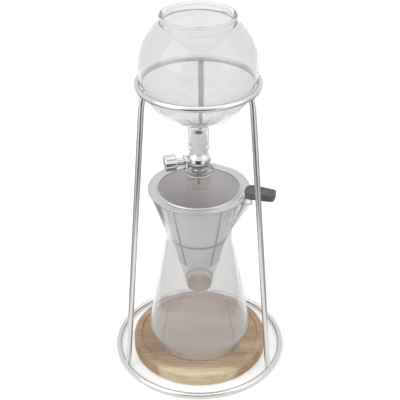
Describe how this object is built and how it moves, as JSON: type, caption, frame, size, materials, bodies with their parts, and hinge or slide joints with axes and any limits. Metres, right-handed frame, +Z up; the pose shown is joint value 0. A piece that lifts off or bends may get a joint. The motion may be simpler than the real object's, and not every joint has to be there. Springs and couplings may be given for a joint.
{
  "type": "cold drip coffee tower",
  "caption": "Round wire stand with a glass globe and needle valve above a cone filter in a glass carafe on a wooden disc.",
  "frame": {"origin": "on the table, at the middle of the base ring", "axes": "+Z up, -Y to the front between the two front legs, +X to the right seen from the front"},
  "size_m": [0.19, 0.19, 0.3944],
  "materials": {
    "satin_rod": "polished stainless rod",
    "acacia": "oiled acacia with a pale sapwood streak",
    "glass": "clear blown borosilicate glass",
    "sheet_steel": "satin stainless sheet",
    "steel_mesh": "fine woven stainless mesh",
    "polished_steel": "polished stainless",
    "grey_rubber": "matt dark grey silicone rubber",
    "silicone": "translucent silicone",
    "seal_rubber": "black seal rubber",
    "clear_plastic": "clear moulded plastic"
  },
  "bodies": {
    "stand": {"base_ring": "satin_rod", "top_ring": "satin_rod", "leg_left": "satin_rod", "leg_right": "satin_rod", "leg_back": "satin_rod", "wood_base": "acacia"},
    "carafe": {"carafe_glass": "glass"},
    "filter": {"filter_rim": "sheet_steel", "outer_mesh": "steel_mesh", "inner_mesh": "steel_mesh", "filter_frame": "sheet_steel", "filter_cap": "polished_steel", "handle_tab": "sheet_steel", "handle_grip": "grey_rubber"},
    "reservoir": {"reservoir_globe": "glass", "outlet_tube": "glass", "outlet_stopper": "silicone", "inlet_tube": "sheet_steel", "valve_body": "polished_steel", "spindle_seal": "seal_rubber", "gland_nut": "polished_steel", "collar_nut": "polished_steel", "drip_nozzle": "polished_steel", "drip_shroud": "clear_plastic"},
    "needle": {"needle": "sheet_steel"},
    "knob": {"knob_spindle": "sheet_steel", "valve_knob": "polished_steel", "knob_screw": "sheet_steel"}
  },
  "joints": [
    {"name": "carafe_lift", "type": "slide", "parent": "stand", "child": "carafe", "axis": [0, 0, 1], "range_m": [0, 0.015]},
    {"name": "filter_lift", "type": "slide", "parent": "carafe", "child": "filter", "axis": [0, 0, 1], "range_m": [0, 0.025]},
    {"name": "reservoir_lift", "type": "slide", "parent": "stand", "child": "reservoir", "axis": [0, 0, 1], "range_m": [0, 0.15]},
    {"name": "needle_travel", "type": "slide", "parent": "reservoir", "child": "needle", "axis": [-0.9724, -0.2334, 0], "range_m": [0, 0.0015]},
    {"name": "knob_turn", "type": "hinge", "parent": "needle", "child": "knob", "pos_m": [0, 0, 0.23916], "axis": [-0.9724, -0.2334, 0], "range_deg": [0, 720]}
  ],
  "couplings": [
    {"joint": "knob_turn", "follows": "needle_travel", "rad_per_m": 8377.6}
  ]
}
